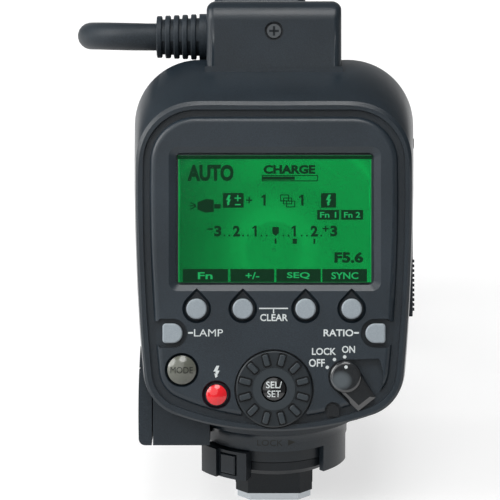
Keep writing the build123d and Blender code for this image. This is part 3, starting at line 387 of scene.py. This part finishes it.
lit_cell = Finish("lit_cell", (0.004, 0.05, 0.015), 0.6, **self_lit)
lit_cell.varied("Emission Color", 0.5 * mm, (0.01, 0.30, 0.08), (0.02, 0.42, 0.12))
clears = bmesh.new()
for words, width, u in (("Fn", 3.6, -16.9), ("+/-", 3.4, -5.3), ("SEQ", 5.6, 6.0), ("SYNC", 6.6, 17.4)):
    add_word(clears, words, width, 1.7, on_screen(u, -6.35, lit_level))
add_plate(clears, 1.6, 0.3, on_screen(-8.9, 12.7, lit_level))
add_plate(clears, 0.3, 1.5, on_screen(-8.9, 12.7, lit_level))
add_plate(clears, 1.4, 0.3, on_screen(-8.9, 11.1, lit_level))
add_outline(clears, bolt_points(1.6, 2.6), on_screen(-11.2, 12.15, lit_level))
add_outline(clears, bolt_points(1.7, 2.8), on_screen(13.4, 12.15, lit_level))
add_word(clears, "Fn 1", 4.0, 1.4, on_screen(13.3, 8.6, lit_level))
add_word(clears, "Fn 2", 4.0, 1.4, on_screen(19.2, 8.6, lit_level))
piece("screen_clears", clears, lit_cell, "control_unit")

dark_frame = Finish("dark_frame", (0.006, 0.009, 0.012), 0.45, Specular_IOR_Level=0.3)
dark_frame.grained(0.3 * mm, 0.02 * mm)
dress(dark_frame, "lcd_carrier", "dial_encoder", "battery_holder", "power_socket", "foot_base")

# Push buttons. Four round and two D-shaped caps in satin grey elastomer, a smoked translucent mode button and
# a red pilot button with a lamp under it. Each cap is one piece with the stem that slides in the panel.
button_grey = Finish("button_grey", (0.28, 0.32, 0.35), 0.42, Specular_IOR_Level=0.35)
button_grey.grained(0.3 * mm, 0.012 * mm, contrast=0.08, sheen=0.08)
dress(button_grey, *[f"function_button_{number}" for number in range(1, 5)], "lamp_button", "ratio_button")

fine_weld = 0.0001 * mm
cap_low, cap_arcs, turn_steps = -1.2, 10, 72


def turned(profile):
    """A solid of revolution round Z, from (radius, height) pairs that start and end at radius 0."""
    shape = bmesh.new()
    corners = [shape.verts.new((radius * mm, 0, height * mm)) for radius, height in profile]
    edges = [shape.edges.new(pair) for pair in zip(corners, corners[1:])]
    bmesh.ops.spin(
        shape, geom=corners + edges, cent=(0, 0, 0), axis=(0, 0, 1), angle=math.tau,
        steps=turn_steps, use_merge=True,
    )
    bmesh.ops.remove_doubles(shape, verts=shape.verts, dist=fine_weld)
    bmesh.ops.recalc_face_normals(shape, faces=shape.faces)
    return shape


def ball_radius(radius, crown):
    """The radius of the ball that a dome of that radius and crown is cut from."""
    return (radius**2 + crown**2) / (2 * crown)


def dome_profile(radius, edge, crown):
    """A cap with a straight side up to the edge and a dome of that crown above it."""
    ball = ball_radius(radius, crown)
    arc = []
    for step in range(cap_arcs + 1):
        across = radius * (1 - step / cap_arcs)
        arc.append((across, edge + math.sqrt(ball**2 - across**2) - (ball - crown)))
    return [(0, cap_low), (radius, cap_low), *arc]


thin_coat = {"Coat_Weight": 0.3, "Coat_Roughness": 0.05}
button_smoke = Finish("button_smoke", (0.17, 0.175, 0.145), 0.16, Specular_IOR_Level=0.5, **thin_coat)
button_smoke.varied("Base Color", 2.5 * mm, (0.085, 0.09, 0.072), (0.14, 0.145, 0.12))
mode_u, mode_v, mode_radius, mode_edge, mode_crown = -22.6, -29.45, 3.5, 0.1, 1.2
mode_cap = turned(dome_profile(mode_radius, mode_edge, mode_crown))
bmesh.ops.transform(mode_cap, matrix=on_panel(mode_u, mode_v), verts=mode_cap.verts)
piece("mode_dome", mode_cap, button_smoke, "mode_button", ["mode_button"])


drape_step, drape_cuts = 0.25, 20


def drape(shape, place, height_at):
    """Cuts flat lettering finely and bends it to follow a surface of that height, in millimetres."""
    inverse = place.inverted()
    for row in (0, 1):
        axis = place.to_3x3().col[row]
        for step in range(-drape_cuts, drape_cuts + 1):
            cut = place.translation + axis * step * drape_step * mm
            parts = shape.verts[:] + shape.edges[:] + shape.faces[:]
            bmesh.ops.bisect_plane(shape, geom=parts, dist=fine_weld, plane_co=cut, plane_no=axis)
    for corner in shape.verts:
        local = inverse @ corner.co
        local.z += height_at(local.x / mm, local.y / mm) * mm
        corner.co = place @ local


def dome_drop(radius, crown):
    """How far a dome of that radius and crown falls away below its top."""
    ball = ball_radius(radius, crown)
    return lambda u, v: math.sqrt(ball**2 - u**2 - v**2) - ball


dark_ink = Finish("dark_ink", (0.012, 0.013, 0.011), 0.5, Specular_IOR_Level=0.3)
dark_ink.uneven(0.45, 0.1, 0.4 * mm)
mode_words = bmesh.new()
mode_top = on_panel(mode_u, mode_v, mode_edge + mode_crown)
add_word(mode_words, "MODE", 5.5, 1.6, mode_top, bold=0.0)
drape(mode_words, mode_top, dome_drop(mode_radius, mode_crown))
piece("mode_word", mode_words, dark_ink, "mode_button")

button_red = Finish("button_red", (0.60, 0.008, 0.014), 0.14, Emission_Strength=0.2, **thin_coat)
button_red.varied("Emission Color", 1.5 * mm, (0.75, 0.01, 0.02), (0.95, 0.02, 0.03))
pilot_u, pilot_v, pilot_radius, pilot_edge, pilot_crown = -14.1, -35.55, 2.5, 0.3, 0.8
pilot_cap = turned(dome_profile(pilot_radius, pilot_edge, pilot_crown))
bmesh.ops.transform(pilot_cap, matrix=on_panel(pilot_u, pilot_v), verts=pilot_cap.verts)
piece("pilot_dome", pilot_cap, button_red, "pilot_button", ["pilot_button"])

# Select dial. A ring with twelve raised grips turns on the rotary switch below it. The polished black set
# button stands in its middle, with two words printed on its dome.
dial_plastic = Finish("dial_plastic", (0.014, 0.018, 0.022), 0.38, Specular_IOR_Level=0.35)
dial_plastic.grained(0.25 * mm, 0.015 * mm)
grip_low, grip_top, pocket_floor, ring_face = 0.72 * mm, 1.0 * mm, 0.4 * mm, 0.66 * mm
# The grips' tops are painted lighter as a highlight, and the pocket floors round them are painted darker as
# shade.
grip_highlight = dial_plastic.between(dial_plastic.above_panel(), grip_low, grip_top)
pocket_shade = dial_plastic.between(dial_plastic.above_panel(), pocket_floor, ring_face)
ring_and_pocket_shade = dial_plastic.mix(pocket_shade, (0.004, 0.006, 0.008, 1), (0.013, 0.018, 0.022, 1))
dial_plastic.set("Base Color", dial_plastic.mix(grip_highlight, ring_and_pocket_shade, (0.027, 0.035, 0.041, 1)))
dress(dial_plastic, "select_dial")
set_gloss = Finish("set_gloss", (0.004, 0.005, 0.006), 0.12, Coat_Weight=0.5, Coat_Roughness=0.03)
set_gloss.uneven(0.1, 0.08, 1.2 * mm)
set_v, set_radius, set_edge, set_crown = -34.1, 2.75, 0.6, 0.4
set_cap = turned(dome_profile(set_radius, set_edge, set_crown))
bmesh.ops.transform(set_cap, matrix=on_panel(0, set_v), verts=set_cap.verts)
piece("set_dome", set_cap, set_gloss, "set_button", ["set_button"])
set_words = bmesh.new()
set_top = set_edge + set_crown
add_word(set_words, "SEL/", 3.9, 1.65, on_panel(0, -33.05, set_top), bold=0.01)
add_word(set_words, "SET", 3.3, 1.65, on_panel(0, -35.25, set_top), bold=0.01)
drape(set_words, on_panel(0, set_v, set_top), dome_drop(set_radius, set_crown))
piece("set_word", set_words, ink, "set_button")

# Power switch. A smoked translucent knob with a lever turns in a fan-shaped recess, and a white dot on it
# points to the printed marks. The exposure lamp's arched lens sits in the panel's lower edge beside it.
switch_smoke = Finish("switch_smoke", (0.012, 0.015, 0.018), 0.16, Coat_Weight=0.8, Coat_Roughness=0.05)
# The knob's paler middle is a painted highlight: a lighter disc mixed into its colour where a lamp's glint
# falls on the dome.
highlight_x, highlight_width, highlight_drop, highlight_height = 16.4, 3.0, 30.4, 2.6
across = (switch_smoke.axis("X") - highlight_x * mm) / (highlight_width * mm)
along = (switch_smoke.axis("Z") - (panel_height - highlight_drop) * mm) / (highlight_height * mm)
knob_highlight = 1.0 - switch_smoke.between(across * across + along * along, 0.1, 1.0)
switch_smoke.set("Base Color", switch_smoke.mix(knob_highlight, (0.010, 0.012, 0.014, 1), (0.085, 0.100, 0.110, 1)))
switch_smoke.uneven(0.12, 0.1, 2 * mm)
dress(switch_smoke, "power_switch", "exposure_lamp")
switch_dot = bmesh.new()
add_dot(switch_dot, index_dot, on_panel(17.6, -28.66, 1.72))
piece("switch_dot", switch_dot, ink, "power_switch")

# Neck print. A word and an arrow show which way the lock lever turns. They are printed in dark ink on the
# skirt of the case's neck and follow its round and its flare.
neck_words = bmesh.new()
print_height, skirt_radius, flare_low, flare_radius = 18.4, 18.6, 18.1, 3.4
word_x, arrow_x = -1.0, 4.4
neck_face = Matrix.Translation((0, 0, print_height * mm)) @ Matrix.Rotation(math.pi / 2, 4, "X")
word_place = neck_face @ Matrix.Translation((word_x * mm, 0, 0))
arrow_place = neck_face @ Matrix.Translation((arrow_x * mm, 0, 0))
add_word(neck_words, "LOCK", 6.4, 1.7, word_place, bold=0.0)
add_outline(neck_words, ((-0.9, 0.85), (-0.9, -0.85), (0.9, 0.0)), arrow_place)


def skirt_reach(across, up):
    """How far the skirt stands out from the neck's axis, with its flare above flare_low."""
    rise = max(0.0, print_height + up - flare_low)
    reach = skirt_radius + flare_radius - math.sqrt(flare_radius**2 - rise**2)
    return math.sqrt(reach**2 - across**2)


drape(neck_words, neck_face, skirt_reach)
piece("neck_print", neck_words, dark_ink, "control_unit")

# Quick-lock foot. The lever ring under the neck and its release button are moulded in plastic, with a
# shallower grain than the case. Their colour is painted darker than the case's, as shade under the case.
shaded_lock_plastic = Finish("shaded_lock_plastic", (0.007, 0.011, 0.015), 0.36, Specular_IOR_Level=0.35)
shaded_lock_plastic.grained(0.24 * mm, 0.015 * mm)
dress(shaded_lock_plastic, "lock_lever", "lock_release_button")

# Head cord. A limp black cord with a soft sleeve leaves the cable cover through a ribbed strain relief, turns
# back behind the cover, drops behind the case, and lies beside the ring head and round into its gland.
soft_rubber = Finish("soft_rubber", (0.016, 0.023, 0.030), 0.5, Specular_IOR_Level=0.3)
soft_rubber.grained(0.35 * mm, 0.012 * mm)
dress(soft_rubber, "strain_relief", "cord_gland", "socket_cap")
cord_diameter, cord_length = 7.0 * mm, 0.45
cord_route = (
    (-29.9, 24.4, 113.0), (-35.3, 24.4, 113.0), (-40.3, 26.1, 112.8), (-44.3, 29.4, 112.3),
    (-47.0, 33.9, 111.5), (-47.9, 38.9, 110.6), (-47.0, 43.9, 109.8), (-44.3, 48.3, 109.0),
    (-32.0, 58.0, 107.0), (-21.5, 65.5, 104.6), (-8.0, 70.6, 99.5), (0.5, 71.7, 93.0),
    (4.0, 72.0, 84.6), (4.3, 72.2, 74.0), (2.5, 72.5, 61.5), (-1.0, 73.2, 49.0),
    (-6.0, 74.7, 37.0), (-12.0, 77.2, 26.5), (-18.0, 81.2, 17.0), (-23.0, 87.7, 9.2),
    (-25.5, 96.2, 4.8), (-26.5, 106.2, 3.5), (-27.9, 124.0, 3.5), (-27.0, 146.0, 3.5),
    (-28.2, 168.0, 3.5), (-27.2, 190.0, 3.5), (-28.2, 212.0, 3.5), (-27.5, 229.0, 3.5),
    (-21.3, 240.8, 3.5), (-10.7, 247.0, 3.5), (1.7, 247.0, 3.5), (12.3, 240.8, 3.5),
    (18.5, 230.2, 3.5), (18.5, 217.8, 3.6), (12.3, 207.2, 4.4), (1.9, 201.0, 6.6),
    (-4.0, 190.6, 9.0), (-4.0, 179.0, 9.0),
)
cord_curve = bpy.data.curves.new("head_cord_sleeve", "CURVE")
cord_curve.dimensions = "3D"
line = cord_curve.splines.new("NURBS")
line.points.add(len(cord_route) - 1)
for point, place in zip(line.points, cord_route):
    point.co = (*[value * mm for value in place], 1)
line.order_u = 3
line.use_endpoint_u = True
line.resolution_u = 8
cord_curve.bevel_depth = cord_diameter / 2
cord_curve.bevel_resolution = 8
cord_curve.use_fill_caps = True
cord_curve.materials.append(soft_rubber.material)
cord = bpy.data.objects.new("head_cord_sleeve", cord_curve)
bpy.context.collection.objects.link(cord)
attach(cord, "control_unit")
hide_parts("head_cord")

# Small metal parts. The cover's screw and the ring head's screws are blackened steel with a cross recess,
# the case screws, the pins and the shoe plate are bare ground steel, and the contacts are gold-plated.
black_steel = Finish("black_steel", (0.03, 0.032, 0.036), 0.34, Metallic=0.7)
black_steel.uneven(0.28, 0.16, 0.6 * mm)
dress(black_steel, "ring_screws")
screw_steel = Finish("screw_steel", (0.10, 0.108, 0.115), 0.3, Metallic=0.8)
screw_steel.uneven(0.24, 0.14, 0.5 * mm)
dress(screw_steel, "cable_cover_screw")
cross_length, cross_width, screw_v, screw_n = 2.4, 0.6, 54.7, -12.9
# The cover screw's cross recess is a thin dark cross laid flat on its head, painted shade for the hollow.
recess_shade = bmesh.new()
head_top = on_panel(0, screw_v, screw_n)
add_plate(recess_shade, cross_length, cross_width, head_top)
add_plate(recess_shade, cross_width, cross_length, head_top)
piece("screw_recess_shade", recess_shade, dark_frame, "control_unit")
steel = Finish("steel", (0.56, 0.60, 0.63), 0.34, Metallic=1.0)
grinding = steel.node("ShaderNodeMapping", {}, {"Vector": steel.place(), "Scale": (40, 4000, 4000)})
streak = steel.node("ShaderNodeTexNoise", {}, {"Vector": grinding})
steel.set("Roughness", 0.26 + 0.18 * streak)
steel.bump(streak, 0.004 * mm)
dress(steel, "foot_plate", "door_hinge_pin", "lock_pin", "case_screws")
gold = Finish("gold", (0.85, 0.62, 0.28), 0.3, Metallic=1.0)
gold.uneven(0.22, 0.16, 0.5 * mm)
dress(gold, "foot_contacts", "battery_contacts")

# Inner parts. Boards, the cells, the main capacitor and the transformer fill the case, and a small board
# lies in the ring head. They show only where a cover is open.
board_green = Finish("board_green", (0.012, 0.09, 0.035), 0.35, Specular_IOR_Level=0.4)
board_green.varied("Base Color", 0.8 * mm, (0.008, 0.07, 0.025), (0.02, 0.12, 0.05))
dress(board_green, "button_board", "main_board", "ring_board")
cell_wrap = Finish("cell_wrap", (0.10, 0.12, 0.14), 0.3, Metallic=0.6)
cell_wrap.uneven(0.25, 0.15, 2 * mm)
dress(cell_wrap, "battery_cells")
cell_ends = bmesh.new()
cell_places = ((30.9, 47.4), (16.9, 51.2), (34.7, 61.4), (20.7, 65.2))
cell_end_x, end_radius, end_thickness, nub_radius, nub_height = 32.1, 6.5, 0.05, 2.75, 0.18
for y, z in cell_places:
    end = Matrix.Translation((cell_end_x * mm, y * mm, z * mm)) @ Matrix.Rotation(math.pi / 2, 4, "Y")
    add_dot(cell_ends, end_radius, end, end_thickness)
    add_dot(cell_ends, nub_radius, end, nub_height)
piece("cell_ends", cell_ends, steel, "control_unit")
can_sleeve = Finish("can_sleeve", (0.012, 0.012, 0.018), 0.25, Specular_IOR_Level=0.4)
can_sleeve.uneven(0.2, 0.12, 2 * mm)
dress(can_sleeve, "main_capacitor")
wound_core = Finish("wound_core", (0.25, 0.18, 0.05), 0.5, Specular_IOR_Level=0.4)
wound_core.varied("Base Color", 0.4 * mm, (0.2, 0.14, 0.04), (0.34, 0.25, 0.08))
dress(wound_core, "transformer")

# Ring head. Two arc-shaped flash tubes stand in bright reflectors behind clear prismatic windows, and two
# focus lamps shine through round lenses in the foot of the head.
clear_prism = Finish("clear_prism", (0.86, 0.89, 0.90), 0.12, Specular_IOR_Level=0.5, Alpha=0.24)
clear_prism.uneven(0.1, 0.08, 1.5 * mm)
dress(clear_prism, "ring_diffuser_right", "ring_diffuser_left", "focus_lamp_lenses")
mirror_foil = Finish("mirror_foil", (0.82, 0.83, 0.85), 0.12, Metallic=1.0)
mirror_foil.uneven(0.08, 0.12, 1.5 * mm)
dress(mirror_foil, "ring_reflector_right", "ring_reflector_left")
tube_glass = Finish("tube_glass", (0.88, 0.88, 0.82), 0.08, Specular_IOR_Level=0.5, Alpha=0.5)
tube_glass.uneven(0.06, 0.06, 2 * mm)
dress(tube_glass, "flash_tube_right", "flash_tube_left")
lamp_white = Finish("lamp_white", (0.82, 0.80, 0.55), 0.3, Specular_IOR_Level=0.5)
lamp_white.varied("Base Color", 0.5 * mm, (0.75, 0.72, 0.45), (0.88, 0.86, 0.62))
dress(lamp_white, "focus_lamp_leds")

# Studio. The flash stands on a pale floor under four broad soft lamps, with a white backdrop behind it
# and dark flags round the rest. The camera looks down at it from 15 degrees above the horizon.
floor_size, floor_glow, flag_strength = 6.0, 0.64, 0.2
backdrop_edge, backdrop_full = 0.86, 0.97
floor_finish = Finish("floor_finish", (0.42, 0.42, 0.42), 1.0, Specular_IOR_Level=0.0)
floor_shape = bmesh.new()
bmesh.ops.create_grid(floor_shape, x_segments=1, y_segments=1, size=floor_size)
floor_mesh = bpy.data.meshes.new("floor")
floor_shape.to_mesh(floor_mesh)
floor_shape.free()
floor_mesh.materials.append(floor_finish.material)
floor = bpy.data.objects.new("floor", floor_mesh)
bpy.context.collection.objects.link(floor)


def seen_ray(finish):
    """1 for the rays that show a background: to the camera, in a mirror and through glass."""
    kinds = ("Is Camera Ray", "Is Glossy Ray", "Is Transmission Ray")
    rays = [finish.node("ShaderNodeLightPath", {}, {}, kind) for kind in kinds]
    return finish.maths("MAXIMUM", finish.maths("MAXIMUM", rays[0], rays[1]), rays[2])


floor_finish.set("Emission Color", (1, 1, 1, 1))
floor_finish.set("Emission Strength", floor_glow * seen_ray(floor_finish))


class Surround(Finish):
    """A white backdrop behind the object, and dark flags of strength dim on the other sides."""

    def __init__(self, world, dim):
        world.use_nodes = True
        self.tree = world.node_tree
        self.shader = self.tree.nodes["Background"]
        way = self.node("ShaderNodeTexCoord", {}, {}, "Generated")
        ahead = self.node("ShaderNodeSeparateXYZ", {}, {0: way}, 1)
        behind = self.between(ahead, backdrop_edge, backdrop_full)
        shown = self.node("ShaderNodeLightPath", {}, {}, "Is Camera Ray")
        clear = self.node("ShaderNodeLightPath", {}, {}, "Is Transmission Ray")
        shown = self.maths("MAXIMUM", shown, clear)
        self.set("Strength", self.maths("MAXIMUM", shown, dim + (1 - dim) * behind))


world = bpy.data.worlds.new("surround")
bpy.context.scene.world = world
Surround(world, flag_strength).set("Color", (1, 1, 1, 1))


def lamp(name, strength, spread, direction):
    """A broad lamp that shines along a direction."""
    light = bpy.data.lights.new(name, "SUN")
    light.energy = strength
    light.angle = math.radians(spread)
    holder = bpy.data.objects.new(name, light)
    holder.rotation_euler = Vector(direction).to_track_quat("-Z", "Y").to_euler()
    bpy.context.collection.objects.link(holder)


lamp("left_lamp", 1.9, 40, (0.8, 0.2, -0.6))
lamp("top_lamp", 1.3, 30, (-0.05, 0.35, -0.93))
lamp("front_lamp", 1.0, 60, (0.35, 0.7, -0.6))
lamp("side_lamp", 1.0, 45, (1.0, 0.12, -0.08))

sensor_width, camera_distance, seen_width = 36.0, 650.0, 122.5
picture_width, reference_column = 500, 274
camera_back, camera_height = 644.6, 235.9
camera_data = bpy.data.cameras.new("camera")
camera_data.sensor_width = sensor_width
camera_data.lens = sensor_width * camera_distance / seen_width
camera_data.shift_x = (picture_width / 2 - reference_column) / picture_width
camera_data.clip_start = 0.01
camera = bpy.data.objects.new("camera", camera_data)
camera.location = (0, -camera_back * mm, camera_height * mm)
camera.rotation_euler = (math.pi / 2 - panel_lean, 0, 0)
bpy.context.collection.objects.link(camera)
bpy.context.scene.camera = camera
bpy.context.scene.view_settings.view_transform = "Standard"
